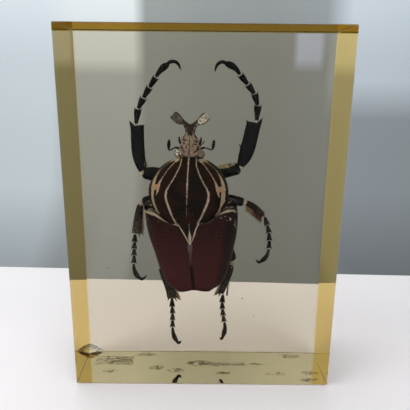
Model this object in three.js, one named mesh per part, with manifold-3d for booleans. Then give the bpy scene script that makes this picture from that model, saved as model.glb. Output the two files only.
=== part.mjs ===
// A display block of clear casting resin, made to hold one large mounted beetle.
// Millimetres, +Z up. The origin is the centre of the face that the block stands on, and -Y is the front.
import * as THREE from "three";
import { mergeVertices } from "three/addons/utils/BufferGeometryUtils.js";
import Module from "manifold-3d";

// Driving dimensions of the casting.
const WIDTH = 130;
const DEPTH = 51.5;
const HEIGHT = 176;

// The polished edges are eased all round to this radius, in a few facets.
const EDGE_RADIUS = 0.6;
const EDGE_FACETS = 4;

// The bottom left corner at the back has a flake knocked off it. The break is a shallow shell scooped by
// a ball that bites this far into the corner, with faint rings round the point that was struck.
const CHIP_BALL_RADIUS = 22;
const CHIP_BITE = 3.6;
const CHIP_DETAIL = 44;
const RING_HEIGHT = 0.03;
const RING_SPACING = 1.7;
const RINGS_RAISED = 0.6;
const INTO_THE_BLOCK = new THREE.Vector3(1, -2.4, 2.6).normalize();

const RESIN = { color: 0xe6dcae, roughness: 0.06, metalness: 0 };

const wasm = await Module();
wasm.setup();

// The outline of the block seen from above, less the eased edge that the bevel adds.
function footprint() {
  const halfWidth = WIDTH / 2 - EDGE_RADIUS;
  const halfDepth = DEPTH / 2 - EDGE_RADIUS;
  const outline = new THREE.Shape();
  outline.moveTo(halfWidth, -halfDepth);
  outline.lineTo(halfWidth, halfDepth);
  outline.lineTo(-halfWidth, halfDepth);
  outline.lineTo(-halfWidth, -halfDepth);
  outline.closePath();
  return outline;
}

// The whole casting before it was damaged, standing on Z = 0.
function castBlock() {
  const block = new THREE.ExtrudeGeometry(footprint(), {
    depth: HEIGHT - 2 * EDGE_RADIUS,
    steps: 1,
    bevelEnabled: true,
    bevelThickness: EDGE_RADIUS,
    bevelSize: EDGE_RADIUS,
    bevelSegments: EDGE_FACETS,
  });
  return block.translate(0, 0, EDGE_RADIUS);
}

// The ball that scoops the broken corner, placed against it. Its rings spread from the struck point,
// which is on the upright edge just above the corner.
function chipBall() {
  const ball = new THREE.IcosahedronGeometry(CHIP_BALL_RADIUS, CHIP_DETAIL);
  const struck = new THREE.Vector3(0, 0, RINGS_RAISED).add(INTO_THE_BLOCK).setLength(CHIP_BALL_RADIUS);
  const place = ball.getAttribute("position");
  const point = new THREE.Vector3();
  for (let i = 0; i < place.count; i++) {
    point.fromBufferAttribute(place, i);
    const ring = Math.sin((2 * Math.PI * point.distanceTo(struck)) / RING_SPACING);
    point.setLength(CHIP_BALL_RADIUS + RING_HEIGHT * ring);
    place.setXYZ(i, point.x, point.y, point.z);
  }
  const corner = new THREE.Vector3(-WIDTH / 2, DEPTH / 2, 0);
  const centre = corner.addScaledVector(INTO_THE_BLOCK, CHIP_BITE - CHIP_BALL_RADIUS);
  return ball.translate(centre.x, centre.y, centre.z);
}

// A closed three.js geometry as a solid that can be cut.
function solidOf(geometry) {
  const bare = geometry.clone();
  bare.deleteAttribute("normal");
  bare.deleteAttribute("uv");
  const merged = mergeVertices(bare, 1e-4);
  return new wasm.Manifold(
    new wasm.Mesh({
      numProp: 3,
      vertProperties: merged.getAttribute("position").array,
      triVerts: new Uint32Array(merged.getIndex().array),
    }),
  );
}

// A cut solid as a three.js geometry again.
function geometryOf(solid) {
  const mesh = solid.getMesh();
  const geometry = new THREE.BufferGeometry();
  geometry.setAttribute("position", new THREE.BufferAttribute(mesh.vertProperties, 3));
  geometry.setIndex(new THREE.BufferAttribute(mesh.triVerts, 1));
  geometry.computeVertexNormals();
  return geometry;
}

function resinBlock() {
  const chipped = solidOf(castBlock()).subtract(solidOf(chipBall()));
  const block = new THREE.Mesh(geometryOf(chipped), new THREE.MeshStandardMaterial(RESIN));
  block.name = "resin_block";
  return block;
}

const displayBlock = new THREE.Group();
displayBlock.add(resinBlock());

export default displayBlock;
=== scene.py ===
import math
import random

import bmesh
import bpy
import numpy as np
from mathutils import Matrix, Vector, noise


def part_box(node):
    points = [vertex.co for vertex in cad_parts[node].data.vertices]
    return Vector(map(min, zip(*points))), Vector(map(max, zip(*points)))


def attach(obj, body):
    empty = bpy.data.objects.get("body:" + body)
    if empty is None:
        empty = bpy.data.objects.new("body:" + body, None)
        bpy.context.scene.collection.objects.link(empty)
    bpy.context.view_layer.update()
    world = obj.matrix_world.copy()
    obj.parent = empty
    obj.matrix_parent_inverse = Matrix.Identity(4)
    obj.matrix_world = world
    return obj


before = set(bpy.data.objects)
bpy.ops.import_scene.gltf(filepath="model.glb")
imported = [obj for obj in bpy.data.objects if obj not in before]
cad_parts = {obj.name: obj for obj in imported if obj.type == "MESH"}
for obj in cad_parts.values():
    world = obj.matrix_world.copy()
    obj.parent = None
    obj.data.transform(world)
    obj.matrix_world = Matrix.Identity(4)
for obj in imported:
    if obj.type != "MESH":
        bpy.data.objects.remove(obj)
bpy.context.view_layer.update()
scene = bpy.context.scene
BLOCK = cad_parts["resin_block"]
LOW, HIGH = (corner * 1000 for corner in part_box("resin_block"))

MM = 0.001
WIDTH = HIGH.x - LOW.x
DEPTH = HIGH.y - LOW.y
HEIGHT = HIGH.z - LOW.z
BACKWARD = Vector((0, 1, 0))

# Without a seed the vector noise starts from the clock and comes out otherwise on each run.
NOISE_SEED = 3
noise.seed_set(NOISE_SEED)


def spot(x, z, depth):
    """A point in the block: across, up, and back from the front face, in millimetres."""
    return Vector((x, LOW.y + depth, z))


# ---- Curves and shapes ----


def along(points, t):
    """Where a smooth curve through the points is at t, from 0 at the first to 1 at the last."""
    knots = np.array([tuple(p) for p in points], float)
    spans = len(knots) - 1
    place = min(max(t, 0.0), 1.0) * spans
    i = min(int(place), spans - 1)
    f = place - i
    a, b, c, d = (knots[min(max(i + k, 0), spans)] for k in (-1, 0, 1, 2))
    return 0.5 * (2 * b + (c - a) * f + (2 * a - 5 * b + 4 * c - d) * f * f + (3 * b - a - 3 * c + d) * f**3)


def trace(points, count):
    """Points evenly spread along the smooth curve."""
    return [along(points, i / (count - 1)) for i in range(count)]


def rounding(t, share):
    """1 in the middle of a limb, easing to a blunt tip over that share of its length at each end."""
    edge = min(t, 1 - t) / share
    return 1.0 if edge >= 1 else math.sqrt(max(1 - (1 - edge) ** 2, 0.02))


def limb(bm, stations, rings, sides, ends, keel=0.0, facing=BACKWARD):
    """Adds a closed limb through stations of (place, half width, half thickness).

    The width lies across the limb and the thickness along facing. keel sharpens its two side edges."""
    start = len(bm.verts)
    flat = [(*place, wide, thick) for place, wide, thick in stations]
    turn = None
    loop = None
    for i in range(rings):
        t = i / (rings - 1)
        x, y, z, wide, thick = along(flat, t)
        ahead = Vector(along(flat, min(t + 0.01, 1))[:3]) - Vector(along(flat, max(t - 0.01, 0))[:3])
        across = ahead.cross(facing).normalized()
        through = across.cross(ahead).normalized()
        ease = rounding(t, ends)
        place = Matrix.LocRotScale(None, None, (max(wide, 0.02) * ease, max(thick, 0.02) * ease, 1))
        rest = Matrix((across, through, ahead.normalized())).transposed().to_4x4() @ place
        rest.translation = (x, y, z)
        if loop is None:
            verts = bmesh.ops.create_circle(bm, segments=sides, radius=1)["verts"]
            for v in verts:
                v.co.x *= 1 + keel * (abs(v.co.x) ** 6)
            bmesh.ops.transform(bm, matrix=rest, verts=verts)
            loop = list(dict.fromkeys(e for v in verts for e in v.link_edges))
            bmesh.ops.edgeloop_fill(bm, edges=loop)
        else:
            grown = bmesh.ops.extrude_edge_only(bm, edges=loop)["geom"]
            verts = [g for g in grown if isinstance(g, bmesh.types.BMVert)]
            loop = [g for g in grown if isinstance(g, bmesh.types.BMEdge)]
            bmesh.ops.transform(bm, matrix=rest @ turn, verts=verts)
            loop = [e for e in loop if e.verts[0] in verts and e.verts[1] in verts]
        turn = rest.inverted()
    bmesh.ops.edgeloop_fill(bm, edges=loop)
    bm.verts.ensure_lookup_table()
    return bm.verts[start:]


def plate(columns, rows, place):
    """A sheet whose points are place(s, t), with s and t each running from 0 to 1."""
    bm = bmesh.new()
    bmesh.ops.create_grid(bm, x_segments=columns, y_segments=rows, size=1)
    for v in bm.verts:
        v.co = Vector(place((v.co.x + 1) / 2, (v.co.y + 1) / 2))
    return bm


def ball(bm, centre, radii, segments):
    """Adds a closed, stretched ball."""
    made = bmesh.ops.create_uvsphere(bm, u_segments=segments, v_segments=segments // 2, radius=1)["verts"]
    stretch = Matrix.Diagonal((*radii, 1))
    bmesh.ops.transform(bm, matrix=Matrix.Translation(centre) @ stretch, verts=made)
    return made


def add_object(name, data):
    made = bpy.data.objects.new(name, data)
    scene.collection.objects.link(made)
    return made


def mesh_object(bm, name, finish, smooth):
    """Turns a shape, which is used up, into an object."""
    mesh = bpy.data.meshes.new(name)
    bm.to_mesh(mesh)
    bm.free()
    for polygon in mesh.polygons:
        polygon.use_smooth = smooth
    mesh.materials.append(finish)
    return add_object(name, mesh)


def piece(bm, name, finish, body=None, smooth=True, wall=0.0, ease=0.0, subdivide=0):
    """Turns a shape in millimetres into an object of the beetle or the block.

    body takes it from the beetle's own axes into the block. wall gives a sheet its thickness, ease
    rounds its edges and subdivide smooths it."""
    if body is not None:
        bm.transform(body)
    bmesh.ops.recalc_face_normals(bm, faces=bm.faces)
    bm.transform(Matrix.Scale(MM, 4))
    made = mesh_object(bm, name, finish, smooth)
    if wall:
        solid = made.modifiers.new("wall", "SOLIDIFY")
        solid.thickness = wall * MM
        solid.offset = 0
    if ease:
        bevel = made.modifiers.new("eased edges", "BEVEL")
        bevel.width = ease * MM
        bevel.segments = 2
        bevel.limit_method = "ANGLE"
    if subdivide:
        finer = made.modifiers.new("smooth", "SUBSURF")
        finer.levels = finer.render_levels = subdivide
    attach(made, "root")
    return made


def mark(made, name, body, value):
    """Writes value(u, v, w), worked out over the beetle's own axes, on each point of a piece."""
    place = np.empty(len(made.data.vertices) * 3)
    made.data.vertices.foreach_get("co", place)
    homogeneous = np.c_[place.reshape(-1, 3) / MM, np.ones(len(place) // 3)]
    u, v, w = (homogeneous @ np.array(body.inverted()).T)[:, :3].T
    written = made.data.attributes.new(name, "FLOAT", "POINT")
    written.data.foreach_set("value", value(u, v, w).astype(np.float32))


FAR = 99.0
LINE_STEPS = 70


def outside_lines(u, v, lines):
    """How far each point is outside the nearest of some painted lines of (u, v, half width)."""
    nearest = np.full(len(u), FAR)
    for line in lines:
        for x, y, half in trace(line, LINE_STEPS):
            nearest = np.minimum(nearest, np.hypot(u - x, v - y) - half)
    return nearest


def mirrored(line):
    return [(-u, *rest) for u, *rest in line]


def on_side(side, stations):
    """Stations of (place, half width, half thickness), given for the right, on the left or the right."""
    return [((side * u, v, w), wide, thick) for (u, v, w), wide, thick in stations]


# ---- Finishes ----


class Finish:
    """A material that is put together from nodes round one Principled shader."""

    def __init__(self, name, **sockets):
        self.material = bpy.data.materials.new(name)
        self.material.use_nodes = True
        self.nodes = self.material.node_tree.nodes
        self.links = self.material.node_tree.links
        self.shader = self.nodes["Principled BSDF"]
        self.output = self.nodes["Material Output"]
        for socket, value in sockets.items():
            self.shader.inputs[socket.replace("_", " ")].default_value = value
        self.place = self.nodes.new("ShaderNodeTexCoord").outputs["Object"]

    def add(self, kind, settings=(), **inputs):
        """A node with its settings and inputs; an input may be a value or another node's output."""
        node = self.nodes.new("ShaderNode" + kind)
        for key, value in dict(settings).items():
            setattr(node, key, value)
        for key, value in inputs.items():
            socket = node.inputs[int(key[1:])] if key[0] == "_" else node.inputs[key.replace("_", " ")]
            if isinstance(value, bpy.types.NodeSocket):
                self.links.new(value, socket)
            else:
                socket.default_value = value
        return node

    def noise(self, size_mm, detail=3.0, stretch=(1, 1, 1)):
        """Cloudy noise whose blotches are about size_mm across."""
        place = self.add("Mapping", Vector=self.place, Scale=stretch).outputs[0]
        return self.add("TexNoise", Vector=place, Scale=1 / (size_mm * MM), Detail=detail).outputs["Fac"]

    def pits(self, size_mm):
        """Small round pits about size_mm apart."""
        return self.add("TexVoronoi", Vector=self.place, Scale=1 / (size_mm * MM)).outputs["Distance"]

    def attribute(self, name):
        return self.add("Attribute", {"attribute_name": name}).outputs["Fac"]

    def between(self, value, low, high, start=0.0, end=1.0):
        """value from low to high, made to run from start to end."""
        return self.add("MapRange", _0=value, _1=low, _2=high, _3=start, _4=end).outputs[0]

    def sum(self, value, other, scale=1.0):
        """value plus other times scale."""
        return self.add("Math", {"operation": "MULTIPLY_ADD"}, _0=other, _1=scale, _2=value).outputs[0]

    def product(self, value, other):
        return self.add("Math", {"operation": "MULTIPLY"}, _0=value, _1=other).outputs[0]

    def blend(self, factor, first, second):
        """first where factor is 0, second where it is 1; either may be a colour or an output."""
        tint = [c if isinstance(c, bpy.types.NodeSocket) else (*c, 1) for c in (first, second)]
        return self.add("Mix", {"data_type": "RGBA"}, _0=factor, _6=tint[0], _7=tint[1]).outputs[2]

    def clouds(self, size_mm, low, high, first, second, detail=3.0):
        """Two colours shared out by cloudy noise: first below low, second above high."""
        return self.blend(self.between(self.noise(size_mm, detail), low, high), first, second)

    def colour(self, output):
        self.links.new(output, self.shader.inputs["Base Color"])

    def roughness(self, output):
        self.links.new(output, self.shader.inputs["Roughness"])

    def relief(self, height, depth_mm, strength=1.0):
        bump = self.add("Bump", Height=height, Distance=depth_mm * MM, Strength=strength)
        self.links.new(bump.outputs[0], self.shader.inputs["Normal"])


CREAM = (0.64, 0.56, 0.46)
TAN = (0.41, 0.325, 0.24)
BLACK = (0.0042, 0.0062, 0.009)
CREAM_SCALES = (0.5, 0.3, 0.75, CREAM, TAN)  # blotches of 0.5 mm, shared out between the two colours
SEALED = 0.1  # the specular level of a shell that is wetted by resin of nearly its own index


# How much red, green and blue a metre of each takes up.
RESIN_SOAKS = (4.4, 6.1, 9.8)
YELLOWED_SOAKS = (6.0, 27.0, 107.0)
RESIN_IOR = 1.54


def see_through(name, ior, soaked_per_metre, **sockets):
    """Clear matter that soaks up red, green and blue at the given rates per metre."""
    finish = Finish(name, Transmission_Weight=1.0, IOR=ior, Roughness=0.0, **sockets)
    finish.shader.inputs["Base Color"].default_value = (1, 1, 1, 1)
    density = max(soaked_per_metre)
    soaked = finish.add("VolumeAbsorption", Density=density)
    soaked.inputs["Color"].default_value = (*(1 - rate / density for rate in soaked_per_metre), 1)
    finish.links.new(soaked.outputs[0], finish.output.inputs["Volume"])
    return finish


# The ball whose surface the broken corner follows: its centre and radius in millimetres.
FLAKE_AXIS = Vector((1, -2.4, 2.6)).normalized()
FLAKE_RADIUS = 22
FLAKE_BITE = 3.6
FLAKE_CENTRE = Vector((LOW.x, HIGH.y, LOW.z)) + FLAKE_AXIS * (FLAKE_BITE - FLAKE_RADIUS)
FRACTURE_ROUGHNESS = 0.32
BRUISE_CENTRE = Vector((LOW.x + 3.9, HIGH.y, LOW.z + 2.6))
BRUISE_RADIUS = 5.6


def polished_resin():
    """Clear casting resin, hand polished, with a few hair scratches. It is frosted at the broken corner
    and in the bruise that surrounds the break on the back face."""
    finish = see_through("polished_resin", RESIN_IOR, RESIN_SOAKS, Specular_Tint=(0.08, 0.08, 0.08, 1))
    wave = finish.noise(22, 1)
    scratch = finish.between(finish.noise(0.9, 2, (1, 1, 0.03)), 0.66, 0.7)
    grain = finish.noise(1.1, 4)

    def near(centre, radius, soft):
        reach = finish.add("VectorMath", {"operation": "DISTANCE"}, _0=finish.place, _1=centre * MM)
        reach = reach.outputs[1]
        ragged = finish.sum(reach, grain, 3 * soft * MM)
        return finish.between(ragged, radius * MM, (radius + soft) * MM, 1, 0)

    broken = near(FLAKE_CENTRE, FLAKE_RADIUS + 0.4, 0.1)
    bruised = near(BRUISE_CENTRE, BRUISE_RADIUS, 1.2)
    rough = finish.between(grain, 0.35, 0.6, 0.14, FRACTURE_ROUGHNESS)
    frosted = finish.add("Math", {"operation": "MAXIMUM"}, _0=broken, _1=bruised).outputs[0]
    finish.roughness(finish.product(frosted, rough))
    finish.relief(finish.sum(finish.sum(wave, scratch, 0.01), finish.product(bruised, grain), 4), 0.02)
    return finish.material


def yellowed_resin():
    """The skin of the four rims, yellowed by age. It has the resin's own index, so it doesn't bend light."""
    return see_through("yellowed_resin", 1.0, YELLOWED_SOAKS).material


def black_cuticle():
    """Hard, finely pitted shell, clouded from dark to light and paler where the attributes say so."""
    finish = Finish("black_cuticle", Specular_IOR_Level=SEALED)
    cloud = finish.noise(1.0, 4)
    cuticle_tone = finish.blend(finish.between(cloud, 0.42, 0.66), BLACK, (0.017, 0.022, 0.028))
    worn = finish.blend(finish.between(cloud, 0.36, 0.62), (0.040, 0.033, 0.030), (0.15, 0.125, 0.110))
    cuticle_tone = finish.blend(finish.attribute("worn"), cuticle_tone, worn)
    scales = finish.blend(finish.between(cloud, 0.35, 0.65), (0.48, 0.42, 0.29), (0.17, 0.14, 0.09))
    # pale also paints the highlights at the knees in these scale colours.
    pale = finish.between(finish.sum(finish.attribute("pale"), finish.noise(0.7, 4), 1.5), 1.05, 1.3)
    finish.colour(finish.blend(pale, cuticle_tone, scales))
    finish.roughness(finish.between(cloud, 0.3, 0.7, 0.24, 0.42))
    finish.relief(finish.sum(finish.pits(0.32), finish.noise(0.15), 0.5), 0.03, 0.6)
    return finish.material


def elytron_velvet():
    """Dark maroon velvet, blacker at the rim with painted shade, with ragged cream along the base and cream
    flecks.
    """
    finish = Finish("elytron_velvet", Sheen_Weight=0.04, Sheen_Roughness=0.5, Specular_IOR_Level=SEALED)
    ragged = finish.noise(0.6, 5)
    height = finish.add("SeparateXYZ", _0=finish.place).outputs[2]
    base = finish.between(finish.sum(height, finish.noise(8, 2), 0.012), 0.061, 0.089)
    cloth = finish.blend(base, (0.076, 0.019, 0.023), (0.028, 0.0065, 0.0065))
    # The rim is painted shade: darker down the outer side of each case, most of all on the right.
    rim = finish.between(finish.sum(finish.attribute("to_rim_shade"), ragged, -0.6), -1.1, 1.5)
    cloth = finish.blend(rim, finish.blend(base, (0.027, 0.014, 0.017), (0.013, 0.0065, 0.0075)), cloth)
    seam = finish.between(finish.sum(finish.attribute("to_seam"), ragged, 0.3), 0.3, 0.75)
    seam_tone = finish.blend(finish.between(height, 0.062, 0.067), (0.014, 0.008, 0.009), (0.14, 0.11, 0.11))
    cloth = finish.blend(seam, seam_tone, cloth)
    scales = finish.clouds(*CREAM_SCALES)
    pale = finish.between(finish.sum(finish.attribute("to_cream"), ragged, -1.3), -0.78, -0.5)
    finish.colour(finish.blend(pale, scales, cloth))
    finish.roughness(finish.between(ragged, 0.3, 0.7, 0.5, 0.7))
    finish.relief(finish.sum(finish.noise(0.3, 2), finish.noise(1.6), 1.5), 0.02, 0.5)
    return finish.material


def striped_velvet():
    """Black-brown velvet crossed by cream stripes, which turn orange in the patch at each side."""
    finish = Finish("striped_velvet", Sheen_Weight=0.03, Sheen_Roughness=0.5, Specular_IOR_Level=SEALED)
    ragged = finish.noise(0.5, 5)
    cloth = finish.clouds(6, 0.4, 0.6, (0.022, 0.007, 0.004), (0.006, 0.0035, 0.0025), 2)
    scales = finish.clouds(0.6, 0.3, 0.7, CREAM, TAN)
    orange = finish.between(finish.attribute("to_patch"), 0.7, 2.8)
    scales = finish.blend(orange, (0.50, 0.33, 0.22), scales)
    edge = finish.sum(finish.attribute("to_stripe"), ragged, 1.1)
    dark = finish.between(edge, 0.46, 0.66)
    finish.colour(finish.blend(dark, scales, cloth))
    finish.roughness(finish.between(ragged, 0.3, 0.7, 0.5, 0.68))
    finish.relief(finish.sum(finish.noise(0.3, 2), finish.noise(1.1), 1.2), 0.02, 0.5)
    return finish.material


def lined_scutellum():
    """Black velvet with cream along its two sides and down its middle."""
    finish = Finish("lined_scutellum", Specular_IOR_Level=SEALED)
    edge = finish.sum(finish.attribute("to_stripe"), finish.noise(0.4, 4), 0.3)
    scales = finish.clouds(*CREAM_SCALES)
    finish.colour(finish.blend(finish.between(edge, 0.05, 0.3), scales, (0.01, 0.005, 0.005)))
    finish.shader.inputs["Roughness"].default_value = 0.55
    finish.relief(finish.noise(0.12, 2), 0.02, 0.7)
    return finish.material


def scaled_head():
    """Pinkish cream scales on a dark brown shell, rubbed through in places. The attributes say where it
    is bare, where it is grey and where it carries a painted highlight in near-white."""
    finish = Finish("scaled_head", Specular_IOR_Level=0.25)
    scales = finish.clouds(0.7, 0.36, 0.64, (0.49, 0.41, 0.345), (0.25, 0.18, 0.145), 4)
    # The near-white here is a painted highlight.
    painted_highlight_tone = finish.clouds(1.3, 0.4, 0.6, (0.95, 0.93, 0.86), (0.36, 0.345, 0.30))
    grey = finish.clouds(1.4, 0.42, 0.6, (0.055, 0.055, 0.045), (0.17, 0.17, 0.135))
    scales = finish.blend(finish.attribute("frosted"), scales, painted_highlight_tone)
    scales = finish.blend(finish.attribute("greyed"), scales, grey)
    bare = finish.sum(finish.attribute("to_bare"), finish.noise(0.9, 5), -1.6)
    finish.colour(finish.blend(finish.between(bare, -0.9, -0.35), (0.030, 0.021, 0.017), scales))
    finish.roughness(finish.between(finish.noise(0.5), 0.3, 0.7, 0.3, 0.6))
    finish.relief(finish.sum(finish.noise(0.25, 3), finish.pits(0.4), 0.6), 0.06, 0.8)
    return finish.material


def compound_eye(name, silver_and_glint):
    """Silvery dome, finely faceted, that has come away from the resin and shines; its paler colour is the
    given silver, which on the left eye is near-white as a painted highlight.
    """
    finish = Finish(name, Roughness=0.16, Coat_Weight=0.6)
    finish.colour(finish.clouds(1.0, 0.42, 0.58, (0.06, 0.045, 0.035), silver_and_glint, 4))
    finish.relief(finish.pits(0.09), 0.012, 0.6)
    return finish.material


def clouded(name, clouds, relief, **sockets):
    """A plain finish of two clouded colours, roughened by fine noise of (size, detail, depth, strength)."""
    finish = Finish(name, **sockets)
    finish.colour(finish.clouds(*clouds))
    size, detail, depth, strength = relief
    finish.relief(finish.noise(size, detail), depth, strength)
    return finish.material


def joint_skin_and_glint():
    """The pale, soft skin that shows at the joints; at the knees its near-white is also a painted highlight.
    """
    clouds = (0.6, 0.4, 0.6, (0.88, 0.85, 0.78), (0.24, 0.17, 0.11))
    return clouded("joint_skin_and_glint", clouds, (0.12, 3, 0.02, 0.8), Roughness=0.5)


def hair(name, root, tip):
    """Stiff hair, its colour shifting from tuft to tuft."""
    clouds = (0.5, 0.3, 0.7, root, tip)
    return clouded(name, clouds, (0.08, 2, 0.01, 0.5), Roughness=0.6, Specular_IOR_Level=SEALED)


def residue():
    """Dull old glue and rubbed dirt."""
    clouds = (0.8, 0.35, 0.65, (0.125, 0.11, 0.065), (0.215, 0.195, 0.125), 4)
    return clouded("residue", clouds, (0.2, 3, 0.03, 1), Roughness=0.9)


def chip_grime():
    clouds = (0.5, 0.35, 0.65, (0.13, 0.10, 0.06), (0.30, 0.25, 0.17))
    return clouded("chip_grime", clouds, (0.15, 3, 0.05, 0.8), Roughness=0.8, Specular_IOR_Level=SEALED)


def underside_shell():
    """Glossy black chest and belly with a thin cream dusting at the sides."""
    finish = Finish("underside_shell", Specular_IOR_Level=SEALED)
    cloud = finish.noise(1.0, 4)
    scales = finish.clouds(*CREAM_SCALES)
    dusted = finish.sum(finish.attribute("to_dusted"), cloud, -3.0)
    finish.colour(finish.blend(finish.between(dusted, -1.6, -1.2), scales, (0.010, 0.009, 0.009)))
    finish.roughness(finish.between(cloud, 0.3, 0.7, 0.22, 0.45))
    finish.relief(finish.sum(finish.pits(0.45), finish.noise(0.3), 0.5), 0.05, 0.7)
    return finish.material


# ---- The beetle's own axes: u to the right, v towards the head, w out of its back towards the viewer ----

BEETLE_DEPTH = 24
BEETLE_ROLL = math.radians(-4)


def body_axes(x, z, lean):
    """Axes of one section of the body, whose line passes through x, z and leans by that many degrees."""
    ahead = Vector((math.sin(math.radians(lean)), 0, math.cos(math.radians(lean))))
    out = Matrix.Rotation(BEETLE_ROLL, 3, ahead) @ Vector((0, -1, 0))
    out = (out - out.dot(ahead) * ahead).normalized()
    turned = Matrix((ahead.cross(out), ahead, out)).transposed().to_4x4()
    return Matrix.Translation(spot(x, z, BEETLE_DEPTH)) @ turned


FORE = body_axes(-7.25, 98, 1.3)
HIND = body_axes(-6.85, 98, -2.6)
OUT = Vector((0, 0, 1))


def full(value, power):
    """value raised to a power with its sign kept, for a fuller or a flatter arch."""
    return math.copysign(abs(value) ** power, value)


# The thorax shield, from its front corner back along one side: (u, v). Then its middle line: (v, w).
SHIELD_SIDES = {
    -1: [
        (5.9, 17.3), (9.4, 16.1), (14.3, 12.5), (17.8, 7.6), (19.6, 2.6), (19.4, -2.2), (17.9, -6.8),
        (15.2, -10.1),
    ],
    1: [
        (5.9, 17.3), (9.4, 16.1), (14.2, 12.5), (17.5, 7.6), (19.0, 2.6), (19.0, -2.0), (18.1, -6.2),
        (15.2, -9.2),
    ],
}
SHIELD_RIDGE = [
    (19.0, 5.2), (14.5, 8.2), (9.5, 10.2), (4, 11.3), (-2, 11.8), (-8, 11.6), (-12.5, 11.0), (-15.3, 10.2),
]

# How far it wraps round the body on each side.
SHIELD_WRAP = math.radians(100)

# Its painted lines on the right half: (u, v, half width).
INNER_STRIPE = [
    (3.4, 18, 0.22), (3.9, 14.8, 0.26), (5.4, 11.2, 0.25), (7.1, 7.9, 0.27), (9.7, 3.4, 0.36),
    (10.2, 1.6, 0.46), (10.1, -1.4, 0.5), (8.9, -5.2, 0.5), (6.5, -11.0, 0.38), (4.0, -14.8, 0.34),
]
MIDDLE_STRIPE = [
    (0.0, 18.6, 0.28), (0, 13, 0.28), (0, 9, 0.26), (0, 6.5, 0.38), (0, 4, 0.3), (0, -3, 0.18),
    (0, -10, 0.05),
]
SIDE_STRIPE = [
    (5.8, 16.9, 0.24), (8.2, 14.2, 0.15), (10.8, 10.8, 0.16), (12.9, 7.4, 0.28), (14.2, 4.4, 0.72),
    (14.6, 2.2, 0.5), (15.1, 0.2, 0.12),
]
SIDE_BAND = [
    (6.6, 17.2, 0.5), (9.2, 15.6, 0.14), (13.2, 12.3, 0.12), (15.6, 8.6, 0.4), (16.8, 5, 0.78),
    (17.1, 1.5, 0.72), (17.2, -1, 0.62), (16.6, -4.1, 0.6), (15.3, -7.2, 0.52), (13.9, -9.2, 0.4),
]
RIGHT_BAND = [(16.9, 5, 0.6), (17.0, 1.5, 0.9), (16.9, -2.2, 0.95), (16.5, -5.4, 0.9), (15.6, -7.6, 0.7)]
SIDE_BRIDGE = [(14.3, 4.2, 0.8), (15.6, 3.8, 1.2), (16.8, 3.4, 1.2)]
FRONT_CORNER = [(4.8, 17.4, 0.35), (6.0, 16.8, 0.75)]


def thorax_shield():
    def place(s, t):
        angle = SHIELD_WRAP * (2 * s - 1)
        side_u, side_v = along(SHIELD_SIDES[1 if s > 0.5 else -1], t)
        ridge_v, ridge_w = along(SHIELD_RIDGE, t)
        sine, cosine = math.sin(angle), math.cos(angle)
        border = 0.3 * math.exp(-((min(t, 1 - t) / 0.022) ** 2))
        bead = 0.25 * math.exp(-(((abs(sine) - 0.985) / 0.012) ** 2)) if abs(sine) > 0.9 else 0
        w = -1 + (ridge_w + 1 + border) * full(cosine, 0.82)
        return side_u * sine * (1 + bead * 0.03), ridge_v + (side_v - ridge_v) * abs(sine) ** 1.8, w + bead

    sheet = plate(180, 150, place)
    shield = piece(sheet, "pronotum", striped_velvet(), FORE, wall=0.7, ease=0.2)
    stripes = [MIDDLE_STRIPE, RIGHT_BAND]
    for line in (INNER_STRIPE, SIDE_STRIPE, SIDE_BAND, SIDE_BRIDGE, FRONT_CORNER):
        stripes += [line, mirrored(line)]
    mark(shield, "to_stripe", FORE, lambda u, v, w: outside_lines(u, v, stripes))
    mark(shield, "to_patch", FORE, lambda u, v, w: np.hypot(np.abs(u) - 15.6, v - 3.6))


# A wing case: its outer edge from the shoulder to the tip (u, v), the height of its top on the way, and how
# far forward its base reaches (v), evenly spaced from the scutellum to the shoulder.
CASE_EDGES = {
    1: [
        (22.9, -7.6), (23.3, -12.5), (22.7, -20.5), (21.0, -28.5), (19.2, -36), (17.0, -43), (13.9, -48.5),
        (8.6, -51.6),
    ],
    -1: [
        (23.2, -7.5), (22.8, -12.0), (21.6, -20.5), (19.5, -28.5), (17.8, -36), (15.9, -43), (13.2, -48.5),
        (8.6, -51.6),
    ],
}
CASE_TOP = [10.8, 11.3, 11.5, 11.1, 10.1, 8.4, 5.8, 2.6]
CASE_BASE = [-13.9, -13.7, -11.1, -8.7, -7.4, -6.9, -6.8, -7.0, -7.6]
SCUTELLUM_CORNER = (5.6, -13.4)
SCUTELLUM_TIP_V = -24.6
CASE_END_V = -50.9
CASE_WRAP = math.radians(103)
# The knobs at its shoulder and near its tip, as (u, v, rise, spread), and how far out its faint ribs lie.
CASE_BUMPS = [(17.5, -13, 0.9, 7), (12, -46, 0.6, 6)]
CASE_RIBS = (0.3, 0.52)
CASE_CREAMS = {
    1: [
        [
            (6.2, -13.3, 0.26), (9.2, -11.7, 0.3), (12.2, -10.2, 0.4), (14.6, -9.0, 0.5),
            (16.8, -8.2, 0.68), (19.0, -8.0, 0.6), (21.2, -8.2, 0.42), (22.4, -9.4, 0.26),
        ],
    ],
    -1: [
        [
            (5.6, -14.1, 0.24), (8, -13.1, 0.34), (10.9, -11.9, 0.44), (13.9, -10.2, 0.64),
            (16.6, -8.7, 0.76), (18.4, -8.2, 0.84), (20.6, -7.8, 0.6), (22.4, -7.7, 0.45),
        ],
        [(22.7, -7.8, 0.55), (22.7, -9.4, 0.5), (22.5, -11.4, 0.4), (22.2, -14.0, 0.2)],
    ],
}
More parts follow.
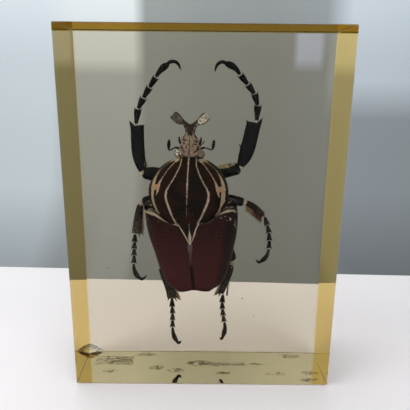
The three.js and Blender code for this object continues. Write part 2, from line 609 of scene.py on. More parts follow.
# Cream flecks on each wing case, as short lines of (u, v, half width).
CREAM_FLECKS = {
    1: [
        [(19.8, -11.6, 0.2), (20.0, -12.4, 0.36)], [(17.4, -10.4, 0.2), (17.8, -10.6, 0.1)],
        [(18.8, -10.8, 0.14), (19.1, -10.7, 0.1)], [(18.1, -12.2, 0.12), (18.4, -12.5, 0.1)],
        [(21.8, -15.4, 0.2), (21.9, -15.8, 0.1)], [(22.0, -13.6, 0.06), (22.4, -17.4, 0.05)],
        [(15.4, -11.0, 0.1), (16.0, -11.3, 0.06)],
    ],
    -1: [[(20.9, -11.6, 0.12), (21.1, -11.9, 0.08)], [(15.2, -12.1, 0.1), (15.4, -12.2, 0.06)]],
}
# Where the velvet is painted darker as shade, down the outer side of each case, widest on the right: (u, v,
# half width).
CASE_PAINTED_SHADE = {
    1: [
        (20.6, -11.0, 2.4), (20.6, -16, 2.9), (19.8, -21.6, 3.0), (18.6, -29, 2.5), (17.2, -35.4, 2.3),
        (15.2, -42.4, 2.0), (13.2, -47.1, 1.4), (10, -50.5, 0.6), (5, -51.5, 0.2),
    ],
    -1: [
        (18.6, -9.9, 1.2), (20.8, -11.6, 1.4), (21.7, -15, 0.9), (21.0, -20.5, 0.6), (19.4, -28.5, 0.5),
        (17.6, -36, 0.5), (15.7, -43, 0.5), (13.2, -48.5, 0.5), (8.6, -51.6, 0.3),
    ],
}


# The painted lines of the scutellum: left, right and middle.
SCUTELLUM_LINES = [
    [(-5.8, -13.2, 0.36), (-4.5, -15.4, 0.32), (-2.7, -18.6, 0.32), (-0.2, -24, 0.34)],
    [(4.9, -13.2, 0.34), (3.4, -15.8, 0.28), (2.4, -18.8, 0.4), (1.5, -21.8, 0.34), (0.2, -24, 0.34)],
    [
        (0, -13.4, 0.05), (0, -17, 0.1), (0.1, -18.7, 0.4), (0.1, -20.4, 0.72), (0.1, -22.4, 0.4),
        (0, -23.8, 0.1),
    ],
]


def case_inner_edge(t):
    """Down the side of the scutellum and then along the seam: (u, v)."""
    turn = 0.28
    if t < turn:
        share = t / turn
        u, v = SCUTELLUM_CORNER
        return u + (0.12 - u) * share, v + (SCUTELLUM_TIP_V - v) * share
    return 0.12, SCUTELLUM_TIP_V + (CASE_END_V - SCUTELLUM_TIP_V) * (t - turn) / (1 - turn)


def wing_case(side, name, finish):
    def place(s, t):
        angle = CASE_WRAP * s
        seam_u, seam_v = case_inner_edge(t)
        edge_u, edge_v = along(CASE_EDGES[side], t)
        top = along([(h,) for h in CASE_TOP], t)[0]
        sine, cosine = math.sin(angle), math.cos(angle)
        u = seam_u + (edge_u - seam_u) * sine
        outward = min(s * 1.15, 1) ** 1.3
        v = seam_v + (edge_v - seam_v) * outward
        plain_base = CASE_BASE[0] + (CASE_BASE[-1] - CASE_BASE[0]) * outward
        v += (along([(b,) for b in CASE_BASE], s)[0] - plain_base) * (1 - t) ** 6
        v -= 1.0 * math.sin(math.pi * s) * t**9
        w = -1.5 + (top + 1.5) * full(cosine, 0.72)
        for bump_u, bump_v, rise, spread in CASE_BUMPS:
            w += rise * math.exp(-((u - bump_u) ** 2 + (v - bump_v) ** 2) / spread)
        w += 0.35 * math.exp(-((s / 0.03) ** 2)) * (v < SCUTELLUM_TIP_V)
        w += 0.1 * sum(math.exp(-(((s - rib) / 0.03) ** 2)) for rib in CASE_RIBS)
        return side * u, v, w

    case = piece(plate(110, 130, place), name, finish, HIND, wall=0.55, ease=0.15)

    def to_seam(u, v, w):
        """The worn grey line: widest behind the scutellum and even from there to the tips."""
        flare = 0.75 * np.exp(-(((v + 25.5) / 2.4) ** 2))
        return np.abs(u) - flare - 0.35 * (v < -33) + FAR * (v > -23.4)

    cream = CASE_CREAMS[side] + CREAM_FLECKS[side]
    # rim is the painted shade down the outer side of the case.
    rim = [CASE_PAINTED_SHADE[side]]
    mark(case, "to_cream", HIND, lambda u, v, w: outside_lines(side * u, v, cream))
    mark(case, "to_rim_shade", HIND, lambda u, v, w: outside_lines(side * u, v, rim))
    mark(case, "to_seam", HIND, to_seam)


def scutellum():
    corner_u, base_v = SCUTELLUM_CORNER
    length = SCUTELLUM_TIP_V - base_v

    def place(s, t):
        across = 2 * s - 1
        half = (corner_u - 0.1) * (1 - t) ** 0.92 + 0.05
        w = 11.2 + 0.35 * (1 - across * across) * (1 - t) - 0.2 * abs(across) + 0.25 * t
        return across * half, base_v + length * t, w

    sheet = plate(60, 60, place)
    shield = piece(sheet, "scutellum", lined_scutellum(), HIND, wall=0.5, ease=0.12)
    mark(shield, "to_stripe", HIND, lambda u, v, w: outside_lines(u, v, SCUTELLUM_LINES))


# The side piece behind each shoulder: (u, v, w), half width and half thickness, from the body out.
WEDGE = [
    ((12.0, -9.6, 4.5), 1.5, 2.0), ((16.5, -6.4, 3.4), 2.1, 2.9), ((20.4, -4.9, 0.5), 2.1, 3.2),
    ((22.2, -6.6, -3.5), 1.3, 2.4),
]


def shoulder_wedge(side, name, finish):
    """The hard piece that shows between the thorax shield and the wing case."""
    bm = bmesh.new()
    limb(bm, on_side(side, WEDGE), rings=26, sides=24, ends=0.2, facing=OUT)
    wedge = piece(bm, name, finish, HIND)
    streaks = [
        [(15.5, -8.2, 0.1), (18.5, -6.4, 0.2), (21.3, -6.4, 0.1)], [(18.2, -4.7, 0.12), (20.6, -3.6, 0.2)],
    ]
    mark(wedge, "to_dusted", HIND, lambda u, v, w: 2.2 * outside_lines(np.abs(u), v, streaks) + 0.1)


# ---- Head ----

# Stations of the head from the neck to the horn: (v, w, half width, half thickness).
HEAD_LINE = [
    (15.5, -0.8, 3.2, 3.0), (18.0, 0.0, 3.6, 3.6), (20.0, 0.5, 5.0, 3.7), (21.8, 0.7, 5.2, 3.3),
    (23.5, 0.9, 4.7, 2.9), (25.4, 1.1, 4.5, 2.5), (27.2, 1.4, 4.2, 2.1), (28.6, 1.7, 3.1, 1.7),
    (30.2, 1.9, 2.1, 1.4), (32.0, 2.0, 2.2, 1.2),
]
# Where soft folds cross it: v.
HEAD_FOLDS = (20.6, 23.2, 25.6)
# One arm of the fork, from the stem to its blunt end: (u, v, w, half width, half thickness).
HORN_ARM = [
    (1.9, 34.3, 2.3, 1.25, 1.0), (3.4, 35.1, 2.7, 1.2, 0.85), (4.9, 35.9, 3.3, 2.0, 0.8),
    (6.5, 37.3, 4.0, 2.25, 0.7), (7.9, 38.6, 4.6, 2.0, 0.55),
]
# Where the head's scales are rubbed off: lines of (u, v, half width).
RUBBED = [
    [(-0.1, 28.6, 0.05), (0, 22.8, 0.08)], [(-0.2, 22.2, 0.12), (-0.2, 20.6, 0.32)],
    [(-2.9, 26.9, 0.35), (-2.0, 26.7, 0.3)], [(2.4, 26.5, 0.2), (3.4, 26.2, 0.35)],
    [(-3.4, 25.2, 0.15), (-2.6, 25.4, 0.2)], [(2.2, 25.2, 0.22), (3.1, 24.7, 0.15)],
    [(-4.5, 23.6, 0.5), (-3.3, 22.6, 0.22)], [(4.0, 23.6, 0.3), (4.0, 22.4, 0.4)],
    [(3.6, 22.2, 0.2), (2.4, 20.8, 0.14)], [(-3.2, 22.0, 0.14), (-2.4, 21.0, 0.1)],
    [(-2.4, 19.0, 0.2), (-4.6, 19.6, 0.4)], [(2.6, 18.8, 0.2), (4.8, 19.4, 0.4)],
    [(0, 31.9, 1.6), (0, 30.4, 0.8), (0.1, 29.4, 0.3)], [(-0.7, 30.4, 0.2), (-0.9, 28.9, 0.06)],
    [(0.9, 30.4, 0.3), (0.8, 28.6, 0.12)], [(-3.2, 27.9, 0.12), (-1.9, 30.6, 0.25)],
    [(3.2, 27.7, 0.2), (1.9, 30.6, 0.2)], [(-1.2, 24.0, 0.08), (-1.8, 23.0, 0.12)],
    [(1.5, 24.3, 0.12), (1.2, 23.4, 0.08)],
]


def head_capsule():
    bm = bmesh.new()
    stations = [((0, v, w), wide, thick) for v, w, wide, thick in HEAD_LINE]
    skin = limb(bm, stations, rings=76, sides=60, ends=0.05, facing=OUT)
    for v in skin:
        u, along_head, w = v.co
        upper = min(max((w - 1.2) / 1.5, 0), 1)
        ridge = math.exp(-(((abs(u) - 1.5) / 0.42) ** 2)) - 0.7 * math.exp(-((u / 0.4) ** 2))
        fold = sum(math.exp(-(((along_head - at - 0.25 * abs(u)) / 0.3) ** 2)) for at in HEAD_FOLDS)
        v.co.z += upper * (0.45 * ridge - 0.2 * fold * min(max((abs(u) - 1.8) / 0.8, 0), 1))
    head = piece(bm, "head", scaled_head(), FORE)
    mark(
        head, "to_bare", FORE,
        lambda u, v, w: np.clip(outside_lines(u, v, RUBBED) * 1.4, -0.3, 0.62) - 0.9 * (w < 0),
    )


def forked_horn():
    """The stem and both arms as one skin, grown from one block."""
    bm = bmesh.new()
    bmesh.ops.create_cube(bm, size=1)
    bmesh.ops.transform(
        bm, matrix=Matrix.LocRotScale(Vector((0, 31.1, 1.9)), None, (4.9, 1.6, 2.6)), verts=bm.verts
    )

    def far_face(direction):
        reach = Vector(direction)
        return max(bm.faces, key=lambda f: f.calc_center_median().dot(reach) + 5 * f.normal.dot(reach))

    def grow(face, corners):
        """Pushes a face out and sets its four corners, matched to the nearest old ones."""
        moved = bmesh.ops.extrude_discrete_faces(bm, faces=[face])["faces"][0]
        shift = sum((Vector(c) for c in corners), Vector()) / 4 - moved.calc_center_median()
        free = [Vector(c) for c in corners]
        for v in moved.verts:
            nearest = min(free, key=lambda c: (c - v.co - shift).length)
            free.remove(nearest)
            v.co = nearest
        return moved

    def block(v, w, wide, thick):
        return [(a * wide, v, w + b * thick) for a in (-1, 1) for b in (-1, 1)]

    top = grow(far_face((0, 1, 0)), block(32.8, 2.1, 3.0, 1.15))
    grow(top, block(34.0, 2.25, 3.5, 1.1))
    whole = bm.verts[:] + bm.edges[:] + bm.faces[:]
    bmesh.ops.bisect_plane(bm, geom=whole, plane_co=(0, 0, 0), plane_no=(1, 0, 0))
    for side in (-1, 1):
        tops = [f for f in bm.faces if f.normal.y > 0.9 and f.calc_center_median().y > 33.5]
        face = next(f for f in tops if f.calc_center_median().x * side > 0)
        for i, (u, v, w, wide, thick) in enumerate(HORN_ARM[1:]):
            before = HORN_ARM[i]
            ahead = Vector((u - before[0], v - before[1], 0)).normalized()
            across = Vector((ahead.y, -ahead.x, 0))
            centre = Vector((u, v, w))
            steps = ((0, 1),) if i < len(HORN_ARM) - 2 else ((0, 1), (0.4, 0.86))
            for step, share in steps:
                corners = [
                    centre + ahead * step + across * (a * wide * share) + OUT * (b * thick * share)
                    for a in (-1, 1) for b in (-1, 1)
                ]
                face = grow(face, [(side * c.x, c.y, c.z) for c in corners])
    bmesh.ops.subdivide_edges(bm, edges=bm.edges[:], cuts=5, use_grid_fill=True)
    every_way = {f"use_axis_{axis}": True for axis in "xyz"}
    for _ in range(7):
        bmesh.ops.smooth_vert(bm, verts=bm.verts[:], factor=0.5, **every_way)
    horn = piece(bm, "clypeal_horn", scaled_head(), FORE, subdivide=1)
    club = [(4.9, 35.9, 1.1), (6.3, 37.1, 1.5), (7.4, 38.1, 1.2)]
    pale_side = [(1.7, 31.2, 0.12), (2.5, 33.4, 0.12), (3.5, 34.7, 0.1)]
    pale_sides = [mirrored(pale_side), pale_side]
    mark(
        horn, "to_bare", FORE,
        lambda u, v, w: np.maximum(
            0.45 - 1.1 * outside_lines(np.abs(u), v, [club]), 0.3 - 1.5 * outside_lines(u, v, pale_sides)
        ).clip(-0.3, 0.75),
    )
    mark(horn, "greyed", FORE, lambda u, v, w: 0.9 * (u < 0))
    # The right club's frosted white is a painted highlight.
    mark(horn, "frosted", FORE, lambda u, v, w: 1.0 * (u > 3))


# The lobe on both sides of the face, then the thin one on the right side only: ((u, v, w), half width,
# half thickness).
FACE_LOBES = [
    [((4.2, 24.6, 1.2), 0.7, 0.5), ((5.2, 26.4, 1.5), 0.5, 0.45), ((5.2, 28.4, 1.9), 0.32, 0.25)],
    [((4.6, 24.2, 1.0), 0.35, 0.3), ((6.2, 25.4, 1.2), 0.25, 0.25), ((6.9, 26.4, 1.3), 0.34, 0.3)],
]


def face_lobes(finish):
    """The small horns and blades along each side of the head, over the feelers."""
    bm = bmesh.new()
    for side in (-1, 1):
        for path in FACE_LOBES[: 1 if side < 0 else 2]:
            limb(bm, on_side(side, path), rings=16, sides=14, ends=0.2, facing=OUT)
    piece(bm, "face_lobes", finish, FORE)


def eyes():
    # The left eye's near-white silver is a painted highlight; the right eye has its darker silver.
    for u, name, silver_and_glint in ((-5.4, "eye_left", (0.95, 0.92, 0.88)), (5.1, "eye_right", (0.30, 0.27, 0.22))):
        finish = compound_eye(f"compound_{name}", silver_and_glint)
        bm = bmesh.new()
        ball(bm, (u, 19.9, 0.9), (2.25, 2.3, 2.4), 44)
        piece(bm, name, finish, FORE)


# Each feeler, from the head out: (x, z) in the block, then the top of its club.
FEELERS = {
    "antenna_left": (
        [(-11.4, 119.9), (-12.6, 120.6), (-13.9, 120.9), (-15.2, 120.3), (-16.3, 119.7), (-17.3, 119.5)],
        (-17.0, 124.7),
    ),
    "antenna_right": (
        [(-2.4, 119.9), (-1.2, 120.5), (0.2, 120.9), (1.7, 120.5), (2.9, 120.1), (4.2, 119.8)],
        (4.9, 124.7),
    ),
}
FEELER_DEPTH = 25.5


def feeler(name, finish):
    """A stem of beads and a club of three leaves."""
    line, club_top = FEELERS[name]
    bm = bmesh.new()
    points = [spot(x, z, FEELER_DEPTH) for x, z in line]
    stem = [(points[0], 0.45, 0.45), (points[1], 0.5, 0.5), (points[2], 0.62, 0.6)]
    limb(bm, stem, rings=12, sides=14, ends=0.25)
    for bead in trace(points[2:], 7)[:-1]:
        ball(bm, Vector(bead), (0.42, 0.4, 0.4), 14)
    root, tip = points[-1], spot(*club_top, FEELER_DEPTH)
    for leaf in (-1, 0, 1):
        shift = BACKWARD * (leaf * 0.42)
        middle = (root + tip) / 2 + shift + Vector((0.12 * leaf, 0, 0))
        stations = [(root + shift * 0.6, 0.35, 0.2), (middle, 0.72, 0.26), (tip + shift * 1.3, 0.5, 0.16)]
        limb(bm, stations, rings=18, sides=16, ends=0.25)
    piece(bm, name, finish)


def mouthparts(finish):
    """Chin plate, jaws' brushes and the jointed palps, under the head."""
    bm = bmesh.new()
    ball(bm, (0, 24, -1.4), (2.6, 3.6, 0.9), 32)
    for side in (-1, 1):
        jaw = [((1.8, 22, -1.6), 0.9, 0.7), ((3.0, 25.5, -1.6), 0.7, 0.6), ((2.6, 28, -0.9), 0.3, 0.3)]
        limb(bm, on_side(side, jaw), rings=16, sides=14, ends=0.2, facing=OUT)
        palp = [(3.4, 22.0, -2.2), (4.4, 23.0, -2.4), (4.6, 24.6, -2.2), (4.2, 26.4, -1.6)]
        for first, last in zip(palp, palp[1:]):
            a, b = (Vector((side * p[0], p[1], p[2])) for p in (first, last))
            stations = [(a, 0.26, 0.26), ((a + b) / 2, 0.42, 0.4), (b, 0.3, 0.3)]
            limb(bm, stations, rings=10, sides=12, ends=0.25, facing=OUT)
    piece(bm, "mouthparts", finish, FORE)


# ---- Legs ----

# Thigh and shin stations are (x, z, depth, half width). Foot points are the ends of its four short joints,
# (x, z, depth), from the shin out. The toe is the long last joint and the claw hooks from its end, both as
# (x, z) points. Spurs are (x, z, depth) at the root, the (x, z) of the tip and the half width. Pale scales,
# and painted highlights at the knees, lie along lines of (x, z, half width), and worn says how far the end of
# the shin is worn grey.
LEGS = {
    "front_left": {
        "thigh": [
            (-11.5, 103.5, 33.5, 2.3), (-18, 105.4, 32.5, 3.0), (-25.5, 107.0, 31, 3.35),
            (-31.0, 107.2, 30.4, 2.2),
        ],
        "shin": [
            (-30.6, 108.0, 30.2, 1.3), (-31.3, 111.5, 30, 2.35), (-32.4, 117.0, 30, 2.85),
            (-32.7, 124, 30, 2.95), (-32.7, 128.8, 30.2, 2.95), (-33.0, 131.0, 30.5, 2.9),
        ],
        "foot": [
            (-33.4, 131.4, 31), (-32.3, 138.7, 32), (-29.7, 143.8, 32.6), (-26.7, 148.8, 33.2),
            (-23.6, 153.5, 33.7),
        ],
        "toe": [(-23.5, 153.8), (-21.5, 156.6), (-19.4, 158.6), (-17.2, 159.9)],
        "claw": [(-18.4, 159.4), (-16.4, 160.9), (-14.2, 161.0), (-12.5, 159.7), (-11.5, 157.2)],
        "spurs": [
            ((-34.4, 129.2, 30.2), (-36.5, 133.4), 1.5), ((-31.0, 128.8, 30.4), (-29.2, 131.4), 1.2),
            ((-30.6, 115.6, 30), (-29.0, 118.6), 0.8),
        ],
        # Its first pale line is a painted highlight at the knee.
        "pale": [[(-30.6, 107.6, 0.5), (-30.3, 108.6, 0.35)], [(-29.6, 110.8, 0.2), (-29.2, 113.6, 0.1)]],
        "worn": 0,
        "foot_width": 1.75,
    },
    "front_right": {
        "thigh": [
            (-3.0, 103.5, 33.5, 2.3), (4.5, 106.4, 32.5, 3.0), (11.5, 109.0, 31, 3.2),
            (18.4, 110.2, 30.4, 2.5),
        ],
        "shin": [
            (17.9, 111.4, 30.2, 1.5), (19.4, 114.2, 30, 2.5), (21.0, 118.5, 30, 3.2), (22.4, 124, 30, 3.25),
            (23.5, 129.5, 30.2, 3.2), (24.4, 133.0, 30.5, 3.1),
        ],
        "foot": [
            (25.5, 133.4, 31), (25.9, 140.8, 32), (24.2, 146.3, 32.6), (21.0, 150.6, 33.2),
            (17.3, 155.0, 33.7),
        ],
        "toe": [(17.1, 155.2), (14.7, 158.2), (12.2, 159.7), (9.6, 160.6)],
        "claw": [(10.8, 160.2), (8.6, 161.1), (6.8, 160.6), (5.5, 159.0), (4.9, 156.6)],
        "spurs": [
            ((26.0, 131.0, 30.2), (28.3, 135.2), 1.5), ((22.0, 131.4, 30.4), (20.5, 134.2), 1.2),
            ((19.0, 119.6, 30), (17.2, 122.6), 0.8),
        ],
        # Its second pale line is a painted highlight at the knee.
        "pale": [
            [(7.4, 110.9, 1.0), (9.8, 111.4, 1.1), (12.4, 111.4, 0.6)],
            [(13.9, 112.1, 0.55), (14.8, 112.2, 0.5)], [(16.8, 109.2, 0.2), (17.4, 108.2, 0.1)],
        ],
        "worn": 0,
        "foot_width": 1.75,
    },
    "middle_left": {
        "thigh": [
            (-12.5, 89.5, 35, 2.1), (-19, 91.4, 33.8, 2.9), (-26, 93.0, 32.2, 2.8),
            (-31.3, 92.3, 31.4, 2.0),
        ],
        "shin": [
            (-32.2, 91.0, 31.5, 1.4), (-33.0, 87.5, 32, 1.7), (-33.8, 82.5, 32.6, 2.0),
            (-34.4, 77.6, 33, 2.3), (-34.7, 75.3, 33.2, 2.3),
        ],
        "foot": [
            (-35.6, 74.9, 34), (-36.1, 70.4, 35), (-36.4, 66.6, 35.3), (-36.6, 62.8, 35.6),
            (-36.9, 58.4, 35.8),
        ],
        "toe": [(-37.0, 58.0), (-36.8, 54.4), (-35.6, 51.2), (-33.9, 49.3)],
        "claw": [(-35.0, 50.6), (-33.6, 49.1), (-32.2, 49.1), (-30.4, 50.8)],
        "spurs": [
            ((-35.8, 76.6, 33), (-37.6, 75.2), 0.6), ((-33.6, 75.9, 33), (-33.0, 72.6), 0.5),
            ((-32.8, 76.6, 33.4), (-31.0, 73.9), 0.5), ((-35.4, 82.4, 32.6), (-36.6, 81.5), 0.5),
        ],
        # Its first pale line is a painted highlight at the knee.
        "pale": [[(-32.4, 90.9, 0.4), (-31.9, 92.0, 0.5)], [(-31.6, 84.5, 0.05), (-31.9, 78.5, 0.12)]],
        "worn": 0.95,
        "foot_width": 1.42,
    },
    "middle_right": {
        "thigh": [
            (-2.5, 89.5, 35, 2.1), (5.5, 92.2, 33.8, 2.7), (12.5, 93.9, 32.2, 2.5), (17, 93.3, 31.8, 2.3),
            (20.6, 92.7, 31.4, 2.0),
        ],
        "shin": [
            (21.6, 92.6, 31.5, 1.1), (23.6, 91.6, 32, 1.35), (26.3, 89.8, 32.6, 1.45),
            (29.0, 87.3, 33, 1.5), (30.9, 85.4, 33.2, 1.3),
        ],
        "foot": [
            (31.7, 84.9, 34), (33.2, 80.2, 35), (34.4, 76.0, 35.3), (34.8, 71.8, 35.6), (34.8, 67.3, 35.8),
        ],
        "toe": [(34.8, 66.9), (34.1, 63.5), (32.7, 61.1), (30.6, 59.5)],
        "claw": [(31.9, 60.4), (30.6, 59.3), (29.5, 59.1), (28.2, 60.4)],
        "spurs": [((30.4, 85.8, 33), (29.4, 83.0), 0.45), ((31.2, 85.6, 33.4), (31.8, 83.4), 0.4)],
        # Its pale line is a painted highlight at the knee.
        "pale": [[(20.9, 94.0, 0.5), (21.4, 91.8, 0.4)]],
        "worn": 0.5,
        "foot_width": 1.38,
    },
    "hind_left": {
        "thigh": [
            (-13, 77, 35.6, 2.4), (-15.8, 70, 35.4, 3.5), (-19.2, 63.5, 34.4, 3.1),
            (-22.2, 59.2, 33.6, 1.8),
        ],
        "shin": [
            (-22.4, 57.2, 33.5, 1.4), (-20.8, 52, 33.6, 1.8), (-18.7, 47, 34, 2.15),
            (-17.2, 42.4, 34.6, 2.4), (-16.6, 38.3, 34.8, 2.35),
        ],
        "foot": [
            (-16.7, 38.2, 35.6), (-16.7, 33.0, 36.6), (-16.5, 29.0, 36.9), (-16.6, 24.8, 37.1),
            (-16.6, 20.6, 37.3),
        ],
        "toe": [(-16.6, 20.2), (-16.3, 16.8), (-15.4, 13.5), (-13.9, 11.0)],
        "claw": [(-14.9, 12.4), (-14.0, 10.9), (-13.0, 10.5), (-11.8, 11.3)],
        "spurs": [
            ((-18.0, 39.2, 34.6), (-19.1, 36.6), 0.6), ((-15.4, 38.8, 34.8), (-13.8, 36.2), 0.55),
            ((-15.0, 39.6, 34.4), (-11.5, 37.0), 0.55), ((-19.9, 48.0, 33.8), (-21.3, 47.2), 0.45),
        ],
        # Its pale line is a painted highlight at the knee.
        "pale": [[(-23.6, 57.6, 0.4), (-23.3, 56.0, 0.5)]],
        "worn": 0.7,
        "foot_width": 1.42,
    },
    "hind_right": {
        "thigh": [
            (0.5, 77, 35.6, 2.4), (6, 71.5, 35.4, 3.5), (12.3, 66.2, 34.4, 3.3), (15.9, 60.3, 33.6, 2.1),
        ],
        "shin": [
            (15.0, 58.2, 33.5, 1.3), (13.8, 53.6, 33.6, 1.75), (12.0, 48.6, 34, 1.8),
            (10.4, 43.6, 34.6, 1.6), (9.7, 41.4, 34.8, 1.45),
        ],
        "foot": [
            (11.0, 40.6, 35.6), (10.6, 35.8, 36.6), (10.8, 31.8, 36.9), (11.3, 27.8, 37.1),
            (11.9, 24.0, 37.3),
        ],
        "toe": [(12.0, 23.7), (12.5, 20.4), (12.1, 17.1), (11.3, 14.2)],
        "claw": [(11.7, 15.5), (11.3, 14.1), (10.7, 13.3), (9.6, 13.3)],
        "spurs": [
            ((9.4, 42.0, 34.6), (5.5, 39.9), 0.6), ((9.6, 41.2, 34.8), (8.4, 39.2), 0.5),
            ((13.0, 39.8, 34.4), (13.9, 50.0), 0.55), ((15.2, 54.6, 33.8), (15.9, 53.4), 0.45),
        ],
        "pale": [[(15.6, 58.2, 0.3), (15.0, 56.4, 0.2)]],
        "worn": 0.6,
        "foot_width": 1.42,
    },
}


# How much of the grey wear each section of a leg takes.
WORN_SHARE = {"femur": 0.0, "tibia": 1.0, "tarsus": 0.4}


def thorn(bm, root, tip, thickness):
    """A stout, tapering spine."""
    middle = (root.lerp(tip, 0.5), thickness * 0.62, thickness * 0.55)
    limb(bm, [(root, thickness, thickness * 0.8), middle, (tip, 0.06, 0.06)], 9, 12, ends=0.08)


def leg(name, finish, skin):
    parts = LEGS[name]
    flat_share, joint_share = (0.42, 0.31) if name.startswith("front") else (0.6, 0.25)
    heights = [z for _, z, *_ in parts["shin"]]
    top, low = max(heights), min(heights)

    def cuticle_piece(bm, title):
        made = piece(bm, f"{title}_{name}", finish)
        mark(made, "pale", Matrix.Identity(4), lambda x, y, z: 0.45 - outside_lines(x, z, parts["pale"]))
        worn = parts["worn"] * WORN_SHARE[title]
        if worn:
            mark(
                made, "worn", Matrix.Identity(4),
                lambda x, y, z: worn * ((top - z) / (top - low)).clip(0.25, 1),
            )

    bm = bmesh.new()
    thigh = [(spot(*p[:3]), p[3], p[3] * 0.72) for p in parts["thigh"]]
    limb(bm, thigh, rings=34, sides=28, keel=0.08, ends=0.1)
    cuticle_piece(bm, "femur")

    bm = bmesh.new()
    shin = [(spot(*p[:3]), p[3], p[3] * flat_share) for p in parts["shin"]]
    limb(bm, shin, rings=40, sides=28, keel=0.12, ends=0.05)
    for root, tip, thickness in parts["spurs"]:
        thorn(bm, spot(*root), spot(*tip, root[2] + 0.3), thickness)
    cuticle_piece(bm, "tibia")

    joints = [spot(*p) for p in parts["foot"]]
    wide = parts["foot_width"]
    bm = bmesh.new()
    pale = bmesh.new()
    # The knee ball is pale joint skin with a painted highlight in its near-white.
    knee = (spot(*parts["thigh"][-1][:3]) + spot(*parts["shin"][0][:3])) / 2
    ball(pale, knee, (1.15, 1.2, 1.15), 20)
    for i, (near, far) in enumerate(zip(joints, joints[1:])):
        ahead = (far - near).normalized()
        across = ahead.cross(BACKWARD).normalized()
        near = near + ahead * 0.3
        lip = wide * (1 - 0.05 * i)
        stations = [
            (near, wide * 0.45, wide * 0.42), (near.lerp(far, 0.35), wide * 0.62, wide * 0.5),
            (near.lerp(far, 0.8), lip * 0.93, wide * 0.64), (far, lip * 0.86, wide * 0.55),
        ]
        limb(bm, stations, rings=20, sides=20, keel=0.1, ends=0.08)
        for side in (-1, 1):
            root = far + across * (side * lip * 0.55) - ahead * 1.0
            thorn(bm, root, root + ahead * 1.75 + across * (side * 0.85), 0.5)
        ball(pale, near - ahead * 0.15, [wide * joint_share] * 3, 14)
    depth = joints[-1].y - LOW.y
    toe = [spot(x, z, depth + 0.15 * i) for i, (x, z) in enumerate(parts["toe"])]
    shares = (0.44, 0.72, 0.96, 0.55)
    stations = [(place, wide * share, wide * share * 0.8) for place, share in zip(toe, shares)]
    limb(bm, stations, 24, 20, ends=0.12)
    ball(pale, toe[0], [wide * joint_share] * 3, 14)
    cuticle_piece(bm, "tarsus")

    bm = bmesh.new()
    for side in (-1, 1):
        path = [spot(x, z, depth + 0.5 + side * (0.45 + 0.22 * i)) for i, (x, z) in enumerate(parts["claw"])]
        taper = (0.7, 0.86, 0.8, 0.66, 0.2) if len(path) == 5 else (0.6, 0.68, 0.56, 0.2)
        hook = [(place, half, half * 0.8) for place, half in zip(path, taper)]
        limb(bm, hook, rings=30, sides=14, ends=0.06)
    piece(bm, f"claws_{name}", finish)
    piece(pale, f"joint_skin_and_glint_{name}", skin)


# Hair fringes: the line of their roots (x, z, depth), which way they lie (x, z), their length and number.
FRINGES = {
    "fringe_middle_right": (
        [(21.9, 91.2, 32.2), (23.6, 90.2, 32.8), (25.4, 88.9, 33.2)], (0.02, -1), 3.5, 300, "tan",
    ),
    "fringe_middle_right_outer": (
        [(25.4, 89.0, 33.0), (27.6, 86.9, 33.4), (29.8, 84.8, 33.6)], (-0.1, -1), 3.4, 320, "red",
    ),
    "fringe_middle_left": (
        [(-31.8, 89.6, 32.2), (-32.2, 84.5, 32.8), (-32.4, 80.0, 33.2), (-32.5, 77.0, 33.4)], (0.7, -0.8),
        2.1, 420, "tan",
    ),
    "fringe_hind_left": (
        [(-18.4, 50.0, 34.0), (-16.4, 45.5, 34.6), (-15.0, 41.4, 35.0), (-14.6, 39.2, 35.2)], (0.95, -0.5),
        2.7, 620, "tan",
    ),
    "fringe_hind_right": (
        [(11.6, 51.0, 34.0), (10.2, 46.8, 34.6), (9.0, 43.4, 35.0), (8.8, 42.4, 35.2)], (-0.85, -0.6), 2.7,
        560, "tan",
    ),
    "fringe_hind_right_outer": (
        [(15.0, 55.0, 34.2), (13.9, 50.5, 34.8), (12.9, 46.4, 35.2)], (0.05, -1), 4.0, 110, "tan",
    ),
    "fringe_front_left": (
        [(-29.4, 113.0, 30.2), (-29.2, 110.6, 30.4), (-29.4, 108.6, 30.6)], (0.9, -0.2), 1.3, 110, "red",
    ),
}


def fringe(name, finishes, draw):
    line, lie, length, count, tone = FRINGES[name]
    roots = [spot(*p) for p in line]
    bm = bmesh.new()
    for _ in range(count):
        root = Vector(along(roots, draw.random()))
        root += Vector((draw.uniform(-0.3, 0.3), draw.uniform(-0.7, 0.7), draw.uniform(-0.3, 0.3)))
        way = Vector((lie[0] + draw.gauss(0, 0.16), draw.gauss(0.1, 0.2), lie[1] + draw.gauss(0, 0.16)))
        way.normalize()
        reach = length * draw.uniform(0.55, 1.1)
        droop = Vector((draw.gauss(0, 0.12), draw.gauss(0, 0.1), -0.18)) * reach
        tip = root + way * reach + droop
        stations = [(root, 0.06, 0.06), (root + way * reach * 0.6, 0.045, 0.045), (tip, 0.012, 0.012)]
        limb(bm, stations, rings=4, sides=3, ends=0.01)
    piece(bm, name, finishes[tone])


# ---- Underside ----

# The belly's front edge (v) and the height of its middle (w). Then each ring: rear edge, half width and
# half thickness.
BELLY_FRONT = -21.5
BELLY_W = -1.8
BELLY_RINGS = [
    (-27, 18.4, 8.6), (-32.5, 17.2, 8.2), (-37.5, 15.9, 7.4), (-42, 14.2, 6.4), (-46, 12.4, 5.2),
    (-50.2, 9.2, 3.8),
]


# The two chest plates, each with its axes, from the head back: (v, w, half width, half thickness).
CHEST = {
    "prothorax": (
        FORE,
        [(16.5, -1, 6.5, 4), (12, -1, 12, 7), (4, -1.5, 17.2, 8.6), (-6, -2, 15.5, 8.8), (-9, -2, 12, 7)],
    ),
    "pterothorax": (
        HIND, [(-3.5, -2, 14, 7.5), (-7, -2, 19.4, 8.8), (-12, -2, 20.6, 9.4), (-21.8, -2, 19.3, 9.2)],
    ),
}


